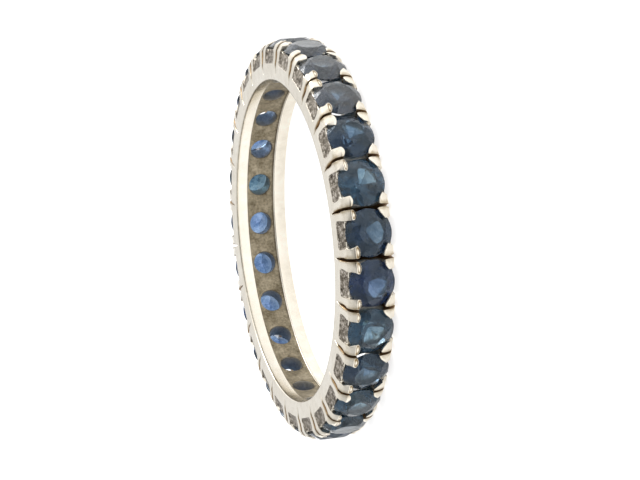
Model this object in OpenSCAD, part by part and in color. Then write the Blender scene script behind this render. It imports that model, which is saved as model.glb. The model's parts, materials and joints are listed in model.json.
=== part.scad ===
// Full eternity ring. Round stones follow each other all the way round one cast band,
// and each stone is held by four claws that are cut from the band itself.
// The ring lies on its side: its axis is Z, and its lower side face rests on Z = 0.
// The first stone faces the front, which is -Y.

/* [Band] */
// Inside diameter of the ring, its finger size
bore_d = 17; // [15:0.1:21]
// Plain rail, from the bore up to the foot of the side windows
rail_h = 0.85; // [0.6:0.05:1.05]
// Bevel on the two edges of the bore
bore_bevel = 0.06; // [0.02:0.01:0.15]
// Depth of the channel that runs round the middle of the bore
channel_depth = 0.12; // [0.05:0.01:0.2]
// Width of the channel
channel_w = 1.43; // [1:0.01:1.8]
// Metal left between the bore and the bottom of a slit
slit_floor = 0.33; // [0.25:0.01:0.5]
// Width of the slit between two settings, at its bottom
slit_w_bottom = 0.06; // [0.04:0.01:0.12]
// Width of the same slit at the claw tips
slit_w_top = 0.18; // [0.14:0.01:0.3]

/* [Settings] */
// Height of the girdles of the stones above the bore
girdle_h = 1.7; // [1.55:0.05:2]
// Metal that stands past the stones on each side face
side_wall = 0.18; // [0.1:0.01:0.3]
// Depth of a side window at its foot
window_step = 0.04; // [0.02:0.01:0.1]
// Depth of a side window at its top, where the wall behind it has leant in
window_depth = 0.24; // [0.12:0.01:0.3]
// Rounding of the lower corners of a side window
window_corner = 0.2; // [0.1:0.01:0.35]
// Distance from the girdle down to the top of the wall behind a window
wall_drop = 0.2; // [0.15:0.01:0.35]
// Distance from the girdle down to the metal between two stones
bridge_drop = 0.5; // [0.4:0.01:0.65]
// Light hole drilled under each stone
hole_d = 1.2; // [0.8:0.05:1.3]
// Widening of the light hole, on each side, where it opens into the bore
hole_flare = 0.08; // [0.02:0.01:0.12]

/* [Claws] */
// Width of a claw along the ring, at the girdle
claw_w = 0.5; // [0.4:0.01:0.58]
// Height of the claw tips above the girdle
claw_rise = 0.33; // [0.25:0.01:0.45]
// How far a claw leans in from the side face below its shoulder
claw_lean = 0.17; // [0.02:0.01:0.2]
// How far a claw reaches in from the side face, over the stone
claw_reach = 0.78; // [0.65:0.01:0.9]
// Radius of the outer shoulder of a claw
shoulder_r = 0.42; // [0.25:0.01:0.5]
// Radius of the tip of a claw
tip_r = 0.13; // [0.06:0.01:0.2]

/* [Stones] */
// Gap between two neighbouring stones at the girdle
stone_gap = 0.115; // [0.06:0.005:0.2]
// Height of the crown
crown_h = 0.36; // [0.25:0.01:0.45]
// Depth of the pavilion
pavilion_h = 1; // [0.8:0.01:1.15]
// Thickness of the girdle
girdle_t = 0.06; // [0.02:0.01:0.1]
// Table width as a share of the stone's diameter
table_share = 0.56; // [0.45:0.01:0.65]
// Where the star facets end, as a share of the radius
star_share = 0.76; // [0.7:0.01:0.85]
// Where the lower half facets end, as a share of the radius
lower_share = 0.34; // [0.25:0.01:0.5]
// Clearance between a stone and its seat
seat_clearance = 0.015; // [0.01:0.005:0.04]
// Turn of each stone about its own axis, past the one before it
stone_turn = 17; // [0:1:44]

/* [Hidden] */
$fn = 96;

// Stones round the ring
stone_count = 25;
// Sides of a stone's table, and main facets of its crown and pavilion
mains = 8;
// Overrun of a cutting shape past the metal
over = 1;
// Steps in a rounded corner of a section or an outline
arc_steps = 4;

pitch = 360 / stone_count;
bore_r = bore_d / 2;
girdle_r = bore_r + girdle_h;
stone_d = 2 * girdle_r * sin(pitch / 2) - stone_gap;
stone_r = stone_d / 2;
band_w = stone_d + 2 * side_wall;
half_w = band_w / 2;

window_foot_r = bore_r + rail_h;
wall_top_r = girdle_r - wall_drop;
bridge_r = girdle_r - bridge_drop;
slit_floor_r = bore_r + slit_floor;
channel_r = bore_r + channel_depth;
claw_top_r = girdle_r + claw_rise;
claw_end = half_w - claw_reach;
shoulder_at = [claw_top_r - shoulder_r, half_w - claw_lean - shoulder_r];
tip_at = [claw_top_r - tip_r, claw_end + tip_r];
window_w = 2 * (girdle_r * tan(pitch / 2) - slit_w_top / 2 - claw_w);

girdle_top = girdle_t / 2;
table_r = stone_r * table_share;
star_r = stone_r * star_share;
lower_r = stone_r * lower_share;
// The kites and mains are flat, and that sets how far from the girdle the other facets meet them.
half_step = 180 / mains;
star_h = crown_h * (stone_r - star_r * cos(half_step)) / (stone_r - table_r);
lower_h = pavilion_h * (1 - lower_r * cos(half_step) / stone_r);

function stone_name(i) = str("stone_", i < 9 ? "0" : "", i + 1);
function stone_angle(i) = pitch * i - 90;

// Points along an arc, from one angle to another.
function arc(centre, r, from, to) =
    [for (k = [0 : arc_steps])
        let (a = from + (to - from) * k / arc_steps)
            centre + r * [cos(a), sin(a)]];

function mirrored(points) =
    [for (k = [len(points) - 1 : -1 : 0]) [points[k].x, -points[k].y]];

// Extrudes a shape that is drawn with X along the radius right through the band's width.
module through_band() {
    translate([0, 0, -over])
        linear_extrude(band_w + 2 * over)
            children();
}

// The band before it is cut: two rails with a channel between them,
// and the claws' outer form above them.
module blank() {
    half = concat(
        [
            [channel_r, channel_w / 2],
            [bore_r, channel_w / 2],
            [bore_r, half_w - bore_bevel],
            [bore_r + bore_bevel, half_w],
            [window_foot_r, half_w],
        ],
        arc(shoulder_at, shoulder_r, 90, 0),
        arc(tip_at, tip_r, 0, -90),
        [[bridge_r, claw_end]]
    );
    translate([0, 0, half_w])
        rotate_extrude()
            polygon(concat(half, mirrored(half)));
}

// The openings between the claws, which leave a wall standing behind each side window.
module windows() {
    side = window_w / 2;
    corner = [window_foot_r + window_corner, side - window_corner];
    opening = concat([[claw_top_r + over, side]], arc(corner, window_corner, 90, 180));
    lean = (window_depth - window_step) / (wall_top_r - window_foot_r);
    wall = [
        [bore_r, half_w - window_step + lean * (window_foot_r - bore_r)],
        [wall_top_r, half_w - window_depth],
    ];
    difference() {
        through_band()
            polygon(concat(opening, mirrored(opening)));
        translate([0, 0, half_w])
            rotate_extrude()
                polygon(concat(wall, mirrored(wall)));
    }
}

// The slit between two settings, which widens outwards and goes on past the claw tips.
module slit() {
    widening = (slit_w_top - slit_w_bottom) / (claw_top_r - slit_floor_r);
    half = [
        [slit_floor_r, slit_w_bottom / 2],
        [claw_top_r + over, (slit_w_top + widening * over) / 2],
    ];
    through_band()
        polygon(concat(half, mirrored(half)));
}

// What is cut away for one stone: its light hole, its seat and the notches in its claws.
// The seat and the notches clear the ridges of the stone, whichever way it is turned.
module seat() {
    edge_r = stone_r + seat_clearance;
    edge_h = girdle_top + seat_clearance;
    hole_r = hole_d / 2;
    mouth_r = hole_r + hole_flare;
    hole_top = -edge_h - lower_h * (edge_r - hole_r) / (stone_r - lower_r);
    rotate_extrude()
        polygon([
            [0, -girdle_h - over],
            [mouth_r, -girdle_h - over],
            [mouth_r, -girdle_h],
            [hole_r, -girdle_h + slit_floor],
            [hole_r, hole_top],
            [edge_r, -edge_h],
            [edge_r, edge_h],
            [star_r + seat_clearance, edge_h + star_h],
            [table_r + seat_clearance, edge_h + crown_h],
            [0, edge_h + crown_h],
        ]);
}

// Turns its children from the radius along X to a stone's own axis along Z.
module on_stone_axis() {
    translate([girdle_r, 0, half_w])
        rotate([0, 90, 0])
            children();
}

module band() {
    color([0.87, 0.83, 0.74])
        difference() {
            blank();
            for (i = [0 : stone_count - 1])
                rotate([0, 0, stone_angle(i)]) {
                    windows();
                    on_stone_axis()
                        seat();
                    rotate([0, 0, pitch / 2])
                        slit();
                }
        }
}

// Points on a circle about the stone's axis.
function circle_points(count, r, z, start) =
    [for (i = [0 : count - 1]) let (a = start + 360 * i / count) [r * cos(a), r * sin(a), z]];

// A round brilliant cut: table, stars, kites and upper halves over the girdle,
// and lower halves and mains under it.
module cut_stone() {
    points = concat(
        circle_points(mains, table_r, girdle_top + crown_h, 0),
        circle_points(mains, star_r, girdle_top + star_h, half_step),
        circle_points(2 * mains, stone_r, girdle_top, 0),
        circle_points(2 * mains, stone_r, -girdle_top, 0),
        circle_points(mains, lower_r, -girdle_top - lower_h, half_step),
        [[0, 0, -girdle_top - pavilion_h]]
    );
    // Places of the points in the list above
    function on_table(i) = i % mains;
    function on_star(i) = mains + (i + mains) % mains;
    function above_girdle(j) = 2 * mains + j % (2 * mains);
    function below_girdle(j) = 4 * mains + j % (2 * mains);
    function on_lower(i) = 6 * mains + (i + mains) % mains;
    culet = 7 * mains;
    facets = [
        [for (i = [mains - 1 : -1 : 0]) on_table(i)],
        for (i = [0 : mains - 1]) each [
            [on_table(i), on_table(i + 1), on_star(i)],
            [on_table(i), on_star(i), above_girdle(2 * i), on_star(i - 1)],
            [on_star(i), above_girdle(2 * i + 1), above_girdle(2 * i)],
            [on_star(i), above_girdle(2 * i + 2), above_girdle(2 * i + 1)],
            [on_lower(i), below_girdle(2 * i), below_girdle(2 * i + 1)],
            [on_lower(i), below_girdle(2 * i + 1), below_girdle(2 * i + 2)],
            [culet, on_lower(i - 1), below_girdle(2 * i), on_lower(i)],
        ],
        for (j = [0 : 2 * mains - 1])
            [above_girdle(j), above_girdle(j + 1), below_girdle(j + 1), below_girdle(j)],
    ];
    polyhedron(points, facets);
}

module stone(i) {
    color([0.12, 0.18, 0.32])
        rotate([0, 0, stone_angle(i)])
            on_stone_axis()
                rotate([0, 0, stone_turn * i])
                    cut_stone();
}

band();
for (i = [0 : stone_count - 1]) {
    stone(i);
}
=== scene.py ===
import json
import random
from math import cos, hypot, pi, radians, sin, sqrt, tau

import bmesh
import bpy
from mathutils import Matrix, Vector


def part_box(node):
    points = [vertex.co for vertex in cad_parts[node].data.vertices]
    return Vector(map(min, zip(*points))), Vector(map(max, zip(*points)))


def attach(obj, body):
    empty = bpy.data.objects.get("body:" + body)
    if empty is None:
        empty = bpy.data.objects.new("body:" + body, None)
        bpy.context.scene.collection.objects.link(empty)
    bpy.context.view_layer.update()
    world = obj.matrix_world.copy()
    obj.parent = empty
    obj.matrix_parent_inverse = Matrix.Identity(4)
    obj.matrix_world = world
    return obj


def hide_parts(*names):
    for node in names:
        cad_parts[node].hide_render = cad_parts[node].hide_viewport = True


# A full eternity ring that lies on its side. Its axis is Z, and the first stone faces the front.
# Shapes are worked out in millimetres and turned to metres when their mesh is made.
MM = 0.001

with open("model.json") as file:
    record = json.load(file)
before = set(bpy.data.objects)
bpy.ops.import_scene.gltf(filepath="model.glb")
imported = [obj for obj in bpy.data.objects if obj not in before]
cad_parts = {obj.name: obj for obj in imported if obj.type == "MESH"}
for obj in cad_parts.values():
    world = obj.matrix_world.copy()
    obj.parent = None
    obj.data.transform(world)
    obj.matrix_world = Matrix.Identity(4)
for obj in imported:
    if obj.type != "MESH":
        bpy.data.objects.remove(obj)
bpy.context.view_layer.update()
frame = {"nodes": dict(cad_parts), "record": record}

# What the frame gives, with lengths turned to millimetres
band_low, band_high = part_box("band")
HALF_WIDTH = (band_high.z - band_low.z) / 2 / MM
CENTRE_Z = (band_high.z + band_low.z) / 2 / MM
BORE = next(m["dims"]["r_mm"] for m in frame["record"]["mounts"] if m["kind"] == "bore")
STONE_NODES = sorted(name for name in frame["nodes"] if name.startswith("stone_"))
PITCH = tau / len(STONE_NODES)

# Heights above the bore. A claw's crest stands a little over its top before it is rounded.
CHANNEL = 0.12
SLIT_FLOOR = 0.33
RAIL = 0.85
BRIDGE = 1.20
WALL_TOP = 1.58
GIRDLE = 1.70
SHOULDER = 1.88
CLAW_TOP = 2.03
CREST = 2.05

# The cut of the stones
STONE_GAP = 0.115
STONE_R = (BORE + GIRDLE) * sin(PITCH / 2) - STONE_GAP / 2
GIRDLE_HALF = 0.03
CROWN = 0.36
PAVILION = 1.0
TABLE_R = 0.56 * STONE_R
STAR_R = 0.76 * STONE_R
LOWER_R = 0.34 * STONE_R
MAINS = 8
STONE_TURN = radians(17)
# The rough that a stone is cut from
ROUGH_R = STONE_R * 1.004
ROUGH_SIDES = 6 * MAINS
# How far the cutter strays from true: the whole range of a facet's tilt, and its depth
FACET_TILT = radians(4)
FACET_STRAY = 0.008
STONE_SEED = 11
# Corners of a stone that lie this close become one, and corners this close to a cut lie on it
STONE_WELD = 0.002
CUT_SNAP = 1e-5
# A face of a stone belongs to its girdle if its normal rises or falls by less than this
GIRDLE_LEAN = 0.25
# Which of the five tones of sapphire each stone has, from the front one on
STONE_TONES = (1, 0, 1, 3, 3, 3, 3, 0, 4, 4, 4, 0, 4, 4, 4, 4, 4, 4, 1, 2, 0, 0, 1, 0, 2)

# The camera, fitted to the photograph
CAMERA_DISTANCE = 201.54
CAMERA_ELEVATION = radians(17.144)
CAMERA_TURN = radians(0.14)
CAMERA_ROLL = radians(-5.903)
CAMERA_AIM_ACROSS = radians(-0.1644)
CAMERA_AIM_UP = radians(-0.0405)
CAMERA_LENS = 215.53
CAMERA_SENSOR = 36

# The white tent: along which axis its brightness changes, how, between which directions, and from
# what to what. It is brighter overhead, to the right and behind, and its dark opening is in front.
TENT = (
    ("Z", "LINEAR", (-0.2, 1.0), (0.75, 1.2)),
    ("X", "LINEAR", (0.2, 1.0), (0.9, 2.0)),
    ("Y", "SMOOTHSTEP", (-0.97, -0.72), (0.35, 1.0)),
    ("Y", "LINEAR", (0.2, 1.0), (1.0, 1.35)),
)

# A round softbox at the right, in millimetres and watts
LAMP_PLACE = (60, 25, 45)
LAMP_AIM = (22, 10, 0)
LAMP_SIZE = 40
LAMP_POWER = 0.02


def mix(a, b, t):
    return a + (b - a) * t


def finish_mesh(bm, name, materials, levels=0):
    """Turns a bmesh in millimetres into an object in metres that rides on the ring."""
    bmesh.ops.transform(bm, matrix=Matrix.Scale(MM, 4), verts=bm.verts)
    mesh = bpy.data.meshes.new(name)
    bm.to_mesh(mesh)
    bm.free()
    for material in materials:
        mesh.materials.append(material)
    piece = bpy.data.objects.new(name, mesh)
    bpy.context.scene.collection.objects.link(piece)
    if levels:
        rounding = piece.modifiers.new("rounding", "SUBSURF")
        rounding.levels = rounding.render_levels = levels
    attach(piece, "root")
    return piece


# Materials

# Places of the sockets of a Mix node that mixes colours
FACTOR, COLOUR_A, COLOUR_B, MIXED_COLOUR = 0, 6, 7, 2
# How much of a metal's pattern is its fine one; the rest is its broad one
FINE_SHARE = 0.5
# The weight of the fine pattern in the edge of the dirt and of the painted shade, and what is taken
# off them before they are added, so that thin layers only show in patches
DIRT_AND_SHADE_PATCHES = 0.5
DIRT_AND_SHADE_START = 0.3
# Sizes in millimetres of what is seen in a sapphire, and the height of its scratches
SCRATCH_SIZE = 0.12
SCRATCH_HEIGHT = 0.0025
SILK_SIZE = 0.45
SILK = [(0.38, "#8ba4b8"), (0.5, "#bccfda"), (0.62, "#e6eff3")]


def hex_colour(text):
    """An sRGB hex value as the linear colour that a socket takes."""
    parts = [int(text[i:i + 2], 16) / 255 for i in (1, 3, 5)]
    return [c / 12.92 if c <= 0.04045 else ((c + 0.055) / 1.055) ** 2.4 for c in parts] + [1]


def add_node(material, kind, settings=None, links=None, **values):
    """Adds a shader node: settings are its own properties, values what its sockets are set to, and
    links what feeds them. A number among the links is set, for sockets that have only a place."""
    node = material.node_tree.nodes.new(kind)
    for key, value in (settings or {}).items():
        setattr(node, key, value)
    for key, value in values.items():
        node.inputs[key.replace("_", " ")].default_value = value
    for key, source in (links or {}).items():
        if isinstance(source, float):
            node.inputs[key].default_value = source
        else:
            material.node_tree.links.new(source, node.inputs[key])
    return node


def new_material(name):
    material = bpy.data.materials.new(name)
    material.use_nodes = True
    material.node_tree.nodes.clear()
    return material


def per_metre(size_mm):
    """The scale of a pattern whose features are this far apart."""
    return 1 / (size_mm * MM)


def colour_steps(material, source, steps):
    """Colours along a value: steps are pairs of a place from 0 to 1 and a hex colour."""
    ramp = add_node(material, "ShaderNodeValToRGB", links={"Fac": source})
    while len(ramp.color_ramp.elements) < len(steps):
        ramp.color_ramp.elements.new(0.5)
    for element, (place, colour) in zip(ramp.color_ramp.elements, steps):
        element.position = place
        element.color = hex_colour(colour)
    return ramp.outputs["Color"]


def metal(name, tones, grain, cloud, rough, dent, soiling_and_shade=None):
    """A worn metal. Tones run from its dark to its light patches, grain and cloud are the sizes in
    millimetres of its fine and broad patterns, rough is its least and most roughness, dent the depth
    of its pits in millimetres, and soiling the colours of its dirt, and of the shade painted into the
    pits of the claws' heads, from a thin to a thick layer."""
    material = new_material(name)
    place = add_node(material, "ShaderNodeTexCoord").outputs["Object"]
    fine = add_node(
        material, "ShaderNodeTexNoise", links={"Vector": place},
        Scale=per_metre(grain), Detail=4.0, Roughness=0.65,
    ).outputs["Fac"]
    broad = add_node(
        material, "ShaderNodeTexNoise", links={"Vector": place},
        Scale=per_metre(cloud), Detail=3.0, Roughness=0.6,
    ).outputs["Fac"]
    broad_part = add_node(
        material, "ShaderNodeMath", {"operation": "MULTIPLY"}, {0: broad, 1: 1 - FINE_SHARE},
    ).outputs[0]
    both = add_node(
        material, "ShaderNodeMath", {"operation": "MULTIPLY_ADD", "use_clamp": True},
        {0: fine, 1: FINE_SHARE, 2: broad_part},
    ).outputs[0]
    colour = colour_steps(material, both, tones)
    # Brown mixed in by the layer of dirt and shade: dirt round the slits, in the windows and the
    # channel, and painted shade in the pits of the claws' heads
    if soiling_and_shade:
        grime = add_node(material, "ShaderNodeAttribute", {"attribute_name": "grime"}).outputs["Fac"]
        lowered = add_node(
            material, "ShaderNodeMath", {"operation": "SUBTRACT"}, {0: grime, 1: DIRT_AND_SHADE_START},
        ).outputs[0]
        edge = add_node(
            material, "ShaderNodeMath", {"operation": "MULTIPLY_ADD", "use_clamp": True},
            {0: fine, 1: DIRT_AND_SHADE_PATCHES, 2: lowered},
        ).outputs[0]
        cover = add_node(
            material, "ShaderNodeMapRange", {"interpolation_type": "SMOOTHSTEP"},
            {"Value": edge}, From_Min=0.05, From_Max=0.45,
        ).outputs["Result"]
        dirt_and_shade = colour_steps(material, grime, soiling_and_shade)
        blend = add_node(
            material, "ShaderNodeMix", {"data_type": "RGBA"},
            {FACTOR: cover, COLOUR_A: colour, COLOUR_B: dirt_and_shade},
        )
        colour = blend.outputs[MIXED_COLOUR]
    worn = add_node(
        material, "ShaderNodeMapRange", links={"Value": fine},
        From_Min=0.3, From_Max=0.7, To_Min=rough[0], To_Max=rough[1],
    ).outputs["Result"]
    relief = add_node(
        material, "ShaderNodeBump", links={"Height": both},
        Strength=1.0, Distance=dent * MM,
    ).outputs["Normal"]
    surface = add_node(
        material, "ShaderNodeBsdfPrincipled",
        links={"Base Color": colour, "Roughness": worn, "Normal": relief}, Metallic=1.0,
    )
    add_node(material, "ShaderNodeOutputMaterial", links={"Surface": surface.outputs[0]})
    return material


def sapphire(name, tint, depth, sheen, wear):
    """Natural sapphire, cut and polished by hand: glassy and almost black where light crosses the
    whole stone, clear blue where it crosses little of it, cloudy with silk and finely scratched.
    Depth is how much of the light it takes up in a millimetre, sheen the colour of what it mirrors,
    and wear its roughness where it is scratched."""
    material = new_material(name)
    place = add_node(material, "ShaderNodeTexCoord").outputs["Object"]
    scratches = add_node(
        material, "ShaderNodeTexNoise", links={"Vector": place},
        Scale=per_metre(SCRATCH_SIZE), Detail=5.0, Roughness=0.7,
    ).outputs["Fac"]
    silk = add_node(
        material, "ShaderNodeTexNoise", links={"Vector": place},
        Scale=per_metre(SILK_SIZE), Detail=4.0, Roughness=0.7,
    ).outputs["Fac"]
    colour = colour_steps(material, silk, SILK)
    worn = add_node(
        material, "ShaderNodeMapRange", links={"Value": scratches},
        From_Min=0.4, From_Max=0.7, To_Min=0.05, To_Max=wear,
    ).outputs["Result"]
    relief = add_node(
        material, "ShaderNodeBump", links={"Height": scratches},
        Strength=1.0, Distance=SCRATCH_HEIGHT * MM,
    ).outputs["Normal"]
    surface = add_node(
        material, "ShaderNodeBsdfPrincipled",
        links={"Base Color": colour, "Roughness": worn, "Normal": relief},
        IOR=1.77, Specular_Tint=hex_colour(sheen), Transmission_Weight=0.975,
    )
    body = add_node(
        material, "ShaderNodeVolumeAbsorption", Color=hex_colour(tint), Density=depth / MM,
    )
    add_node(
        material, "ShaderNodeOutputMaterial",
        links={"Surface": surface.outputs[0], "Volume": body.outputs[0]},
    )
    return material


POLISHED, CAST_SKIN, SLIT, CHANNEL_SKIN, SEAT = range(5)
# The browns of dirt from a thin to a thick layer, also used as painted shade in the pits of the claws'
# heads
SOILING_AND_SHADE = [(0.0, "#b8a882"), (0.3, "#927d52"), (0.5, "#614526"), (0.8, "#33271a")]
band_materials = [
    # Rails and claws: a worn polish, warm and slightly uneven, that still shows soft reflections,
    # with brown grime where it meets the slits and brown painted shade in the pits
    metal(
        "polished_white_gold", [(0.3, "#e0d8c8"), (0.5, "#ebe4d6"), (0.7, "#f6f1e6")],
        grain=0.4, cloud=1.8, rough=(0.14, 0.24), dent=0.002, soiling_and_shade=SOILING_AND_SHADE,
    ),
    # The walls behind the windows: the skin that casting left, which gives them their grey
    # mottling. Such a grain is too fine to show at this size, so it is drawn as coarse as it needs.
    metal(
        "cast_white_gold",
        [(0.38, "#332c25"), (0.45, "#645c51"), (0.5, "#857d71"), (0.55, "#aaa297"), (0.62, "#dcd5cc")],
        grain=0.08, cloud=0.2, rough=(0.35, 0.6), dent=0.03, soiling_and_shade=SOILING_AND_SHADE,
    ),
    # Inside the slits: brown tarnish, patchy and rough, that turns each slit into a dark warm line
    metal(
        "tarnished_slit", [(0.3, "#6e5a40"), (0.5, "#a08460"), (0.7, "#d4b488")],
        grain=0.1, cloud=0.4, rough=(0.4, 0.6), dent=0.01,
    ),
    # The channel inside the bore: a greyer, rougher skin than the two rails beside it, where
    # polishing never reached
    metal(
        "satin_channel", [(0.34, "#5e5544"), (0.5, "#8a806c"), (0.66, "#b4a994")],
        grain=0.12, cloud=0.6, rough=(0.35, 0.55), dent=0.015, soiling_and_shade=SOILING_AND_SHADE,
    ),
    # Light holes and seats: clean drilled metal, pale enough to carry the blue of the stones
    metal(
        "drilled_seat", [(0.3, "#9a968e"), (0.6, "#cac6be")],
        grain=0.1, cloud=0.4, rough=(0.4, 0.6), dent=0.01,
    ),
]
# Five tones of sapphire, because natural stones never match: greyer, darker and clearer ones, and
# one with a rougher polish that mirrors its surroundings softly and paler than the others
sapphires = [
    sapphire("slate_sapphire", "#5498b0", 1.3, "#b0bcc6", 0.2),
    sapphire("inky_sapphire", "#4088ac", 1.65, "#aabac6", 0.2),
    sapphire("navy_sapphire", "#4484b8", 1.75, "#aabac8", 0.2),
    sapphire("worn_sapphire", "#4c88a8", 1.6, "#ffffff", 0.3),
    sapphire("clear_sapphire", "#4c90d0", 1.0, "#aabac8", 0.08),
]
# The girdle is only ground, not polished, so it is matt beside the facets
ground_girdle = sapphire("ground_girdle", "#4c88a8", 1.6, "#7c868c", 0.6)


# The stones

def girdle_point(step, height):
    angle = tau * step / (2 * MAINS)
    return Vector((STONE_R * cos(angle), STONE_R * sin(angle), height))


def facet_planes():
    """The facets of a round brilliant, each as three points of its plane."""
    top = GIRDLE_HALF + CROWN
    half_step = pi / MAINS
    star_height = GIRDLE_HALF + CROWN * (STONE_R - STAR_R * cos(half_step)) / (STONE_R - TABLE_R)
    lower_height = -GIRDLE_HALF - PAVILION * (1 - LOWER_R * cos(half_step) / STONE_R)
    culet = Vector((0, 0, -GIRDLE_HALF - PAVILION))
    tip = Vector((0, 0, top))
    up = Vector((0, 0, GIRDLE_HALF))
    planes = []
    for main in range(MAINS):
        middle = tau * main / MAINS
        here = Vector((cos(middle), sin(middle), 0))
        after = Vector((cos(middle + 2 * half_step), sin(middle + 2 * half_step), 0))
        between = Vector((cos(middle + half_step), sin(middle + half_step), 0))
        star = STAR_R * between + Vector((0, 0, star_height))
        lower = LOWER_R * between + Vector((0, 0, lower_height))
        tangent = Vector((-here.y, here.x, 0))
        edge = STONE_R * here
        rim = [girdle_point(2 * main + k, GIRDLE_HALF) for k in range(3)]
        foot = [girdle_point(2 * main + k, -GIRDLE_HALF) for k in range(3)]
        planes.append((edge + up, edge + tangent + up, TABLE_R * here + tip))
        planes.append((star, rim[0], rim[1]))
        planes.append((star, rim[1], rim[2]))
        planes.append((TABLE_R * here + tip, TABLE_R * after + tip, star))
        planes.append((foot[0], lower, foot[1]))
        planes.append((foot[1], lower, foot[2]))
        planes.append((edge - up, culet, edge + tangent - up))
    planes.append((tip, Vector((1, 0, top)), Vector((0, 1, top))))
    return planes


def grind(bm, spot, outward):
    """Cuts one flat facet and closes the stone again."""
    cut = bmesh.ops.bisect_plane(
        bm, geom=bm.verts[:] + bm.edges[:] + bm.faces[:], dist=CUT_SNAP,
        plane_co=spot, plane_no=outward, clear_outer=True,
    )
    rim = [g for g in cut["geom_cut"] if isinstance(g, bmesh.types.BMEdge) and g.is_boundary]
    if len(rim) > 2:
        bmesh.ops.edgeloop_fill(bm, edges=rim)


def make_stone(number, node):
    chance = random.Random(number + STONE_SEED)
    bm = bmesh.new()
    bmesh.ops.create_cone(
        bm, cap_ends=True, segments=ROUGH_SIDES, radius1=ROUGH_R, radius2=ROUGH_R,
        depth=2 * (PAVILION + CROWN),
    )
    for a, b, c in facet_planes():
        outward = (b - a).cross(c - a).normalized()
        if outward.dot((a + b + c) / 3) < 0:
            outward.negate()
        spot = (a + b + c) / 3 + outward * chance.uniform(-FACET_STRAY, FACET_STRAY / 2)
        for axis in "XYZ":
            outward.rotate(Matrix.Rotation(chance.uniform(-1, 1) * FACET_TILT / 2, 3, axis))
        grind(bm, spot, outward)
    bmesh.ops.remove_doubles(bm, verts=bm.verts, dist=STONE_WELD)
    bmesh.ops.recalc_face_normals(bm, faces=bm.faces)
    for face in bm.faces:
        face.material_index = 1 if abs(face.normal.z) < GIRDLE_LEAN else 0
    seat = (
        Matrix.Rotation(PITCH * number - pi / 2, 4, "Z")
        @ Matrix.Translation((BORE + GIRDLE, 0, CENTRE_Z))
        @ Matrix.Rotation(pi / 2, 4, "Y")
        @ Matrix.Rotation(STONE_TURN * number, 4, "Z")
    )
    bmesh.ops.transform(bm, matrix=seat, verts=bm.verts)
    piece = finish_mesh(bm, "cut_" + node, [sapphires[STONE_TONES[number]], ground_girdle])
    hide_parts(node)


# The band. One setting is first built from cells on a grid of whole numbers: columns run along the
# ring from the stone's axis, rows run from the middle of the band to its sides, and levels run
# outwards from the bore. Each corner of the cells then moves to its real place.
CENTRE, WINDOW_MID, WINDOW_EDGE, CLAW_MID, SLIT_WALL, JOINT = range(6)
MIDDLE, CLAW_END, TIP_ROW, CLAW_ROW, WALL_ROW, SIDE = range(6)
LEVELS = [0, SLIT_FLOOR, RAIL, BRIDGE, WALL_TOP, GIRDLE, SHOULDER, CREST]
AT_BORE, AT_SLIT, AT_RAIL, AT_BRIDGE, AT_WALL, AT_GIRDLE, AT_SHOULDER, AT_TOP = range(8)

# Distance of each row from the middle of the band, level by level, in the claws
CLAW_ROWS = {
    AT_BORE: (0, 0.60, 0.70, 0.74, 1.08, HALF_WIDTH),
    AT_SLIT: (0, 0.60, 0.76, 0.92, 1.16, HALF_WIDTH),
    AT_RAIL: (0, 0.60, 0.76, 0.92, 1.16, HALF_WIDTH),
    AT_BRIDGE: (0, 0.64, 0.78, 0.92, 1.14, HALF_WIDTH - 0.06),
    AT_WALL: (0, 0.64, 0.78, 0.94, 1.12, HALF_WIDTH - 0.11),
    AT_GIRDLE: (0, 0.63, 0.77, 0.92, 1.08, HALF_WIDTH - 0.17),
    AT_SHOULDER: (0, 0.60, 0.76, 0.89, 1.01, HALF_WIDTH - 0.26),
    AT_TOP: (0, 0.60, 0.755, 0.85, 0.925, HALF_WIDTH - 0.40),
}
# How far the top of a claw drops towards its outer side, its window edge and its slit edge, and
# besides at its very end
TOP_DROP_OUT = {SIDE: 0.085, WALL_ROW: 0.045, CLAW_ROW: 0.02}
TOP_DROP_ALONG = {WINDOW_EDGE: 0.05, CLAW_MID: 0, SLIT_WALL: 0.03}
TOP_DROP_END = 0.02
# Radius of the hole under the stone and of its seat, level by level
SEAT_RADII = (0.63, 0.60, 0.60, 0.73, 1.13, 1.245)
# Degrees round the hole from one column to the next
HOLE_STEP = 30
# How far the two inner rows of a window's wall lie from the seat to the wall's outer side, and how
# much of its curve along the ring the seat keeps there
WALL_SHARES = {TIP_ROW: 0.3, CLAW_ROW: 0.6}
SEAT_CURVE = 0.75
# Where the middle of a claw's inner end stands along the ring, level with the girdle
CLAW_NOTCH = 1.07
# Height of the underside of a claw's tip, from its window edge to its slit edge
TIP_UNDERSIDE = {WINDOW_EDGE: 1.93, CLAW_MID: 1.86, SLIT_WALL: 1.82}

WINDOW_HALF = 0.70
WINDOW_WALL = {AT_RAIL: HALF_WIDTH - 0.04, AT_BRIDGE: HALF_WIDTH - 0.14, AT_WALL: HALF_WIDTH - 0.23}
SLIT_HALF_BOTTOM = 0.03
SLIT_HALF_TOP = 0.09
# An edge that turns by more than this is softened, and by how much
SHARP = radians(52)
EDGE_RADIUS = 0.025
CLAW_EDGE_RADIUS = 0.07
# Slack when corners are told apart by their place, and the least rise of an upright edge
SLACK = 0.1
UPRIGHT_RISE = 0.15
# Corners of neighbouring settings that lie this close become one
BAND_WELD = 0.005
# How far the corners of a claw's head lie back from its end, and in from its sides
TIP_ROUNDING = 0.09
TIP_NARROWING = 0.04
# The share of the upper claws whose heads are beaded, ahead of their stone and behind it
BEADED = {1: 0.8, -1: 0.4}
# How a claw widens from its shaft to its head, row by row, as a share of its swell
BEAD = {CLAW_END: 0.9, TIP_ROW: 0.9, CLAW_ROW: 0.55, WALL_ROW: 0.1, SIDE: -0.2}
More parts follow.
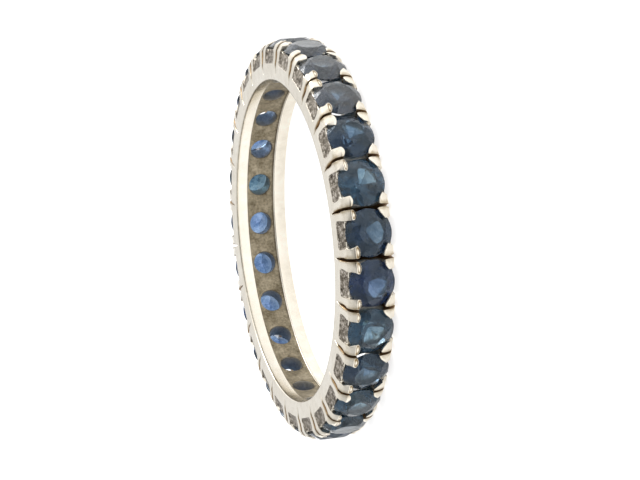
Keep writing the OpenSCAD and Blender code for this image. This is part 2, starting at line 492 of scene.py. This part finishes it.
# The share of its swell that the middle of a claw takes, and of its wander that its tip moves
MID_SWELL = 0.5
WANDER_SHARE = 0.4
CLAW_SEED = 401
# The pit that the setter's tool left in a head: the share of the upper claws that have one, the
# width of its rim, its depth, and how strongly shade is painted into it
PITTED = 0.7
PIT_RIM = 0.042
PIT_DEPTH = 0.035
PIT_SHADE = 0.45

# Dirt from 0 to 1. Round a slit it thins out over its reach to the sides, and thickens over its
# rise from the slit's floor.
SLIT_DIRT = 0.55
SLIT_DIRT_REACH = 0.2
SLIT_DIRT_RISE = 0.6
WINDOW_DIRT = 0.1
CLAW_DIRT = 0.16
CHANNEL_DIRT = 0.12
# Where the dirt of the windows and of the channel begins and ends
WINDOW_DIRT_EDGE = HALF_WIDTH - 0.03
WINDOW_DIRT_FROM_SLIT = 0.5
CHANNEL_DIRT_TOP = 0.3
CHANNEL_DIRT_HALF = 0.72


def is_metal(column, row, layer):
    """Whether a cell, given by the middle of its column and row, is metal in this layer."""
    over_window = column < WINDOW_EDGE
    hole = over_window and row < CLAW_END
    slit = column > SLIT_WALL
    recess = over_window and row > WALL_ROW
    if layer == AT_BORE:
        return not hole
    if layer == AT_SLIT:
        return not hole and not slit
    if layer == AT_RAIL:
        return not hole and not slit and not recess
    if layer == AT_BRIDGE:
        return row > CLAW_END and not slit and not recess
    return row > CLAW_END and not slit and not over_window


def zone(corners):
    """The finish of a face, from the places of its corners on the grid."""
    columns = [abs(v.x) for v in corners]
    rows = [abs(v.y) for v in corners]
    levels = [v.z for v in corners]
    if max(levels) == AT_BORE:
        return CHANNEL_SKIN if max(rows) <= CLAW_ROW else POLISHED
    if min(columns) >= SLIT_WALL and min(levels) >= AT_SLIT:
        return SLIT
    if max(rows) == min(rows) == SIDE:
        return POLISHED
    beside_window = min(columns) == max(columns) == WINDOW_EDGE
    if beside_window and min(rows) >= CLAW_ROW and min(levels) >= AT_WALL:
        return POLISHED
    in_window = max(columns) <= WINDOW_EDGE
    if in_window and min(rows) >= CLAW_ROW and min(levels) >= AT_RAIL:
        return CAST_SKIN
    if min(levels) >= AT_SHOULDER:
        return POLISHED
    if max(rows) <= CLAW_END or max(levels) <= AT_BRIDGE or in_window:
        return SEAT
    return POLISHED


def setting_cells():
    """The cells of one setting as a closed shell, open only where it meets its neighbours."""
    bm = bmesh.new()
    bmesh.ops.create_grid(bm, x_segments=2 * JOINT, y_segments=2 * SIDE, size=1)
    bmesh.ops.transform(bm, matrix=Matrix.Diagonal((JOINT, SIDE, 1, 1)), verts=bm.verts)
    for layer in range(AT_TOP):
        floor = []
        missing = []
        for face in bm.faces:
            middle = face.calc_center_median()
            if abs(middle.z - layer) > SLACK:
                continue
            metal_here = is_metal(abs(middle.x), abs(middle.y), layer)
            (floor if metal_here else missing).append(face)
        if layer == AT_BORE:
            bmesh.ops.delete(bm, geom=missing, context="FACES")
        edges = list(dict.fromkeys(edge for face in floor for edge in face.edges))
        raised = bmesh.ops.extrude_face_region(bm, geom=floor + edges)["geom"]
        corners = [g for g in raised if isinstance(g, bmesh.types.BMVert)]
        bmesh.ops.translate(bm, verts=corners, vec=(0, 0, 1))
    joint = [f for f in bm.faces if all(abs(v.co.x) > JOINT - SLACK for v in f.verts)]
    bmesh.ops.delete(bm, geom=joint, context="FACES")
    for vert in bm.verts:
        vert.co = Vector([round(c) for c in vert.co])
    for face in bm.faces:
        face.material_index = zone([v.co for v in face.verts])
    return bm


def slit_half(radius):
    """Half of the slit's width at a distance from the ring's axis."""
    share = (radius - BORE - SLIT_FLOOR) / (CLAW_TOP - SLIT_FLOOR)
    return mix(SLIT_HALF_BOTTOM, SLIT_HALF_TOP, max(share, 0))


def claw_style(chance, ahead, aside):
    """How one claw was pushed over its stone: how far its head swells and reaches past the usual,
    how much it is domed, how far its tip has wandered and how its end slants."""
    beaded = aside > 0 and chance.random() < BEADED[ahead]
    style = {
        "swell": chance.uniform(0.09, 0.14) if beaded else chance.uniform(-0.02, 0.03),
        "reach": chance.uniform(-0.03, 0.04) if beaded else chance.uniform(-0.09, 0.02),
        "dome": chance.uniform(0, 0.03),
        "wander": chance.uniform(-0.03, 0.03),
        "slant": chance.uniform(-0.04, 0.04),
    }
    if aside < 0:
        style["slant"] = chance.uniform(0.08, 0.2)
        style["swell"] = chance.uniform(0.02, 0.12) if ahead < 0 else chance.uniform(-0.02, 0.05)
    return style


def placed(spot, style):
    """Where a corner of the grid really is: along the stone's axis, along the ring and across it."""
    column, row, level = (int(abs(c)) for c in spot)
    ahead = -1 if spot.x < 0 else 1
    aside = -1 if spot.y < 0 else 1
    radius = BORE + LEVELS[level]
    across = CLAW_ROWS[level][row]
    if level == AT_BORE and row <= TIP_ROW:
        radius = BORE + CHANNEL
    if column <= WINDOW_EDGE:
        along = WINDOW_HALF * column / WINDOW_EDGE
        if level in WINDOW_WALL and row == WALL_ROW:
            across = WINDOW_WALL[level]
        rim = row == CLAW_END or (row == MIDDLE and column == WINDOW_EDGE)
        if rim and level < AT_WALL:
            angle = radians(90 - HOLE_STEP * column) if row == CLAW_END else 0
            along = SEAT_RADII[level] * cos(angle)
            across = SEAT_RADII[level] * sin(angle)
        elif rim and level < len(SEAT_RADII):
            reach = SEAT_RADII[level] / hypot(along, across)
            along *= reach
            across *= reach
        if level == AT_WALL and row in WALL_SHARES:
            inner = sqrt(SEAT_RADII[level] ** 2 - (SEAT_CURVE * along) ** 2)
            across = mix(inner, WINDOW_WALL[level], WALL_SHARES[row])
    else:
        wall = radius * sin(PITCH / 2)
        if column < JOINT:
            wall -= slit_half(radius)
        along = mix(WINDOW_HALF, wall, 0.5) if column == CLAW_MID else wall
    if level == AT_SHOULDER and row == CLAW_END:
        radius = BORE + TIP_UNDERSIDE[column]
    if level == AT_GIRDLE and row == CLAW_END and column == CLAW_MID:
        along = CLAW_NOTCH
    if level >= AT_SHOULDER:
        claw = style[ahead, aside]
        tip = (SIDE - row) / (SIDE - CLAW_END)
        if column < SLIT_WALL:
            along -= claw["swell"] * BEAD[row] * (1 if column == WINDOW_EDGE else MID_SWELL)
        across -= claw["reach"] * tip
        if row == CLAW_END and column != CLAW_MID:
            across += TIP_ROUNDING
            along += TIP_NARROWING * (CLAW_MID - column)
        across += claw["slant"] * tip * (CLAW_MID - column)
        if level == AT_TOP:
            radius -= TOP_DROP_OUT.get(row, 0) + TOP_DROP_ALONG[column]
            if column == CLAW_MID and row < WALL_ROW:
                radius += claw["dome"]
            if row == CLAW_END:
                radius -= TOP_DROP_END
        along += claw["wander"] * tip * WANDER_SHARE
    return Vector((sqrt(radius * radius - along * along), ahead * along, aside * across))


def soil(band):
    """Marks how much dirt has gathered: most round the slits, a little on the heads of the claws, in
    the windows and in the channel, and none elsewhere."""
    grime = band.verts.layers.float.new("grime")
    for vert in band.verts:
        radius = hypot(vert.co.x, vert.co.y)
        heading = vert.co.xy.angle_signed(Vector((1, 0)), 0)
        turn = (pi / 2 - PITCH / 2 + heading) % PITCH
        from_slit = radius * min(turn, PITCH - turn)
        height = radius - BORE
        across = abs(vert.co.z - CENTRE_Z)
        amount = 0
        if height > SLIT_FLOOR and from_slit < SLIT_DIRT_REACH:
            rise = min(1, (height - SLIT_FLOOR) / SLIT_DIRT_RISE)
            amount = SLIT_DIRT * (1 - from_slit / SLIT_DIRT_REACH) * rise
        if height > RAIL and across < WINDOW_DIRT_EDGE and from_slit > WINDOW_DIRT_FROM_SLIT:
            amount = max(amount, WINDOW_DIRT)
        if height > GIRDLE - SLACK:
            amount = max(amount, CLAW_DIRT)
        if height < CHANNEL_DIRT_TOP and across < CHANNEL_DIRT_HALF:
            amount = max(amount, CHANNEL_DIRT)
        vert[grime] = amount


def round_edges(band):
    """Softens the edges: more on the claws, which were filed and burnished, less elsewhere."""
    def is_claw(edge):
        low = min(hypot(v.co.x, v.co.y) for v in edge.verts)
        polished = any(f.material_index == POLISHED for f in edge.link_faces)
        return edge.is_convex and polished and low > BORE + BRIDGE + SLACK

    def is_hidden(edge):
        low, high = sorted(hypot(v.co.x, v.co.y) - BORE for v in edge.verts)
        in_wall = low > RAIL - SLACK and high < GIRDLE - SLACK and high - low > UPRIGHT_RISE
        return in_wall or all(f.material_index in (SLIT, SEAT) for f in edge.link_faces)

    sharp = [
        e for e in band.edges if e.is_manifold and e.calc_face_angle() > SHARP and not is_hidden(e)
    ]
    claws = [e for e in sharp if is_claw(e)]
    plain = [e for e in sharp if not is_claw(e)]
    bmesh.ops.bevel(
        band, geom=claws, offset=CLAW_EDGE_RADIUS, offset_type="OFFSET", segments=2,
        profile=0.5, affect="EDGES", clamp_overlap=True, material=POLISHED,
    )
    plain = [e for e in plain if e.is_valid]
    softened = bmesh.ops.bevel(
        band, geom=plain, offset=EDGE_RADIUS, offset_type="OFFSET", segments=1,
        profile=0.5, affect="EDGES", clamp_overlap=True, material=-1,
    )["faces"]
    # Of the finishes beside it, a softened edge takes the one that comes first in the list. The
    # bevel's own choice can differ from run to run.
    fresh = set(softened)
    for face in softened:
        beside = [f.material_index for v in face.verts for f in v.link_faces if f not in fresh]
        face.material_index = min(beside, default=POLISHED)


def press_dimples(band, spots):
    """Presses a pit into the heads of claws on the upper side, as the setter's tool left it, and
    paints shade into it, brown towards its edge and clean in its middle.
    """
    wanted = {tuple(round(c, 3) for c in spot) for spot in spots}
    heads = [v for v in band.verts if tuple(round(c, 3) for c in v.co) in wanted]
    pits = list(dict.fromkeys(face for head in heads for face in head.link_faces))
    bmesh.ops.inset_region(
        band, faces=pits, thickness=PIT_RIM, depth=0, use_even_offset=True, use_boundary=True,
    )
    grime = band.verts.layers.float["grime"]
    for vert in dict.fromkeys(v for face in pits for v in face.verts):
        vert.co -= PIT_DEPTH * vert.co.xy.normalized().to_3d()
        # Painted shade: the pit takes the dirt's brown, all but the very middle of its floor
        vert[grime] = 0 if vert in heads else PIT_SHADE


def make_band():
    template = setting_cells()
    band = bmesh.new()
    dimples = []
    for number in range(len(STONE_NODES)):
        chance = random.Random(number + CLAW_SEED)
        style = {(a, b): claw_style(chance, a, b) for a in (-1, 1) for b in (-1, 1)}
        setting = template.copy()
        heads = [
            v for v in setting.verts
            if v.co.y > 0 and tuple(map(abs, v.co)) == (CLAW_MID, TIP_ROW, AT_TOP)
        ]
        heads = [v for v in sorted(heads, key=lambda v: v.co.x) if chance.random() < PITTED]
        for vert in setting.verts:
            vert.co = placed(vert.co, style)
        turn = Matrix.Rotation(PITCH * number - pi / 2, 4, "Z")
        place = Matrix.Translation((0, 0, CENTRE_Z)) @ turn
        bmesh.ops.transform(setting, matrix=place, verts=setting.verts)
        dimples += [v.co.copy() for v in heads]
        part = bpy.data.meshes.new("setting")
        setting.to_mesh(part)
        setting.free()
        band.from_mesh(part)
        bpy.data.meshes.remove(part)
    template.free()
    bmesh.ops.remove_doubles(band, verts=band.verts, dist=BAND_WELD)
    bmesh.ops.recalc_face_normals(band, faces=band.faces)
    round_edges(band)
    soil(band)
    press_dimples(band, dimples)
    for face in band.faces:
        face.smooth = True
    piece = finish_mesh(band, "band_dressed", band_materials, levels=1)
    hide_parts("band")


# The camera and the studio

def make_camera():
    camera = bpy.data.objects.new("camera", bpy.data.cameras.new("camera"))
    camera.data.lens = CAMERA_LENS
    camera.data.sensor_width = CAMERA_SENSOR
    back = Vector((0, -cos(CAMERA_ELEVATION), sin(CAMERA_ELEVATION))) * CAMERA_DISTANCE
    turn = Matrix.Rotation(CAMERA_TURN, 4, "Z")
    place = turn @ back + Vector((0, 0, CENTRE_Z))
    look = (
        turn
        @ Matrix.Rotation(pi / 2 - CAMERA_ELEVATION, 4, "X")
        @ Matrix.Rotation(-pi / 2, 4, "Z")
        @ Matrix.Rotation(CAMERA_AIM_ACROSS, 4, "Y")
        @ Matrix.Rotation(CAMERA_AIM_UP, 4, "X")
        @ Matrix.Rotation(CAMERA_ROLL, 4, "Z")
    )
    camera.matrix_world = Matrix.Translation(place * MM) @ look
    camera.data.clip_start = 0.001
    bpy.context.scene.collection.objects.link(camera)
    bpy.context.scene.camera = camera


def make_light():
    """The tent as the world's light, and the softbox."""
    scene = bpy.context.scene
    scene.view_settings.view_transform = "Standard"
    world = bpy.data.worlds.new("studio")
    scene.world = world
    world.use_nodes = True
    world.node_tree.nodes.clear()
    direction = add_node(world, "ShaderNodeTexCoord").outputs["Generated"]
    parts = add_node(world, "ShaderNodeSeparateXYZ", links={"Vector": direction})
    strength = None
    for axis, change, (start, end), (low, high) in TENT:
        factor = add_node(
            world, "ShaderNodeMapRange", {"interpolation_type": change},
            {"Value": parts.outputs[axis]}, From_Min=start, From_Max=end, To_Min=low, To_Max=high,
        ).outputs["Result"]
        if strength:
            factor = add_node(
                world, "ShaderNodeMath", {"operation": "MULTIPLY"}, {0: strength, 1: factor},
            ).outputs[0]
        strength = factor
    background = add_node(world, "ShaderNodeBackground", links={"Strength": strength})
    add_node(world, "ShaderNodeOutputWorld", links={"Surface": background.outputs[0]})
    lamp = bpy.data.lights.new("softbox", "AREA")
    lamp.shape = "DISK"
    lamp.size = LAMP_SIZE * MM
    lamp.energy = LAMP_POWER
    softbox = bpy.data.objects.new("softbox", lamp)
    softbox.location = Vector(LAMP_PLACE) * MM
    aim = Vector(LAMP_AIM) - Vector(LAMP_PLACE)
    softbox.rotation_euler = aim.to_track_quat("-Z", "Y").to_euler()
    scene.collection.objects.link(softbox)


def make_floor():
    bm = bmesh.new()
    bmesh.ops.create_grid(bm, x_segments=1, y_segments=1, size=1)
    mesh = bpy.data.meshes.new("floor")
    bm.to_mesh(mesh)
    bm.free()
    floor = bpy.data.objects.new("floor", mesh)
    bpy.context.scene.collection.objects.link(floor)
    material = new_material("pale_floor")
    surface = add_node(
        material, "ShaderNodeBsdfPrincipled", Base_Color=hex_colour("#c8c8c8"), Roughness=0.8,
        Emission_Color=hex_colour("#ffffff"), Emission_Strength=0.75,
    )
    add_node(material, "ShaderNodeOutputMaterial", links={"Surface": surface.outputs[0]})
    mesh.materials.append(material)


make_camera()
make_light()
make_floor()
make_band()
for number, node in enumerate(STONE_NODES):
    make_stone(number, node)
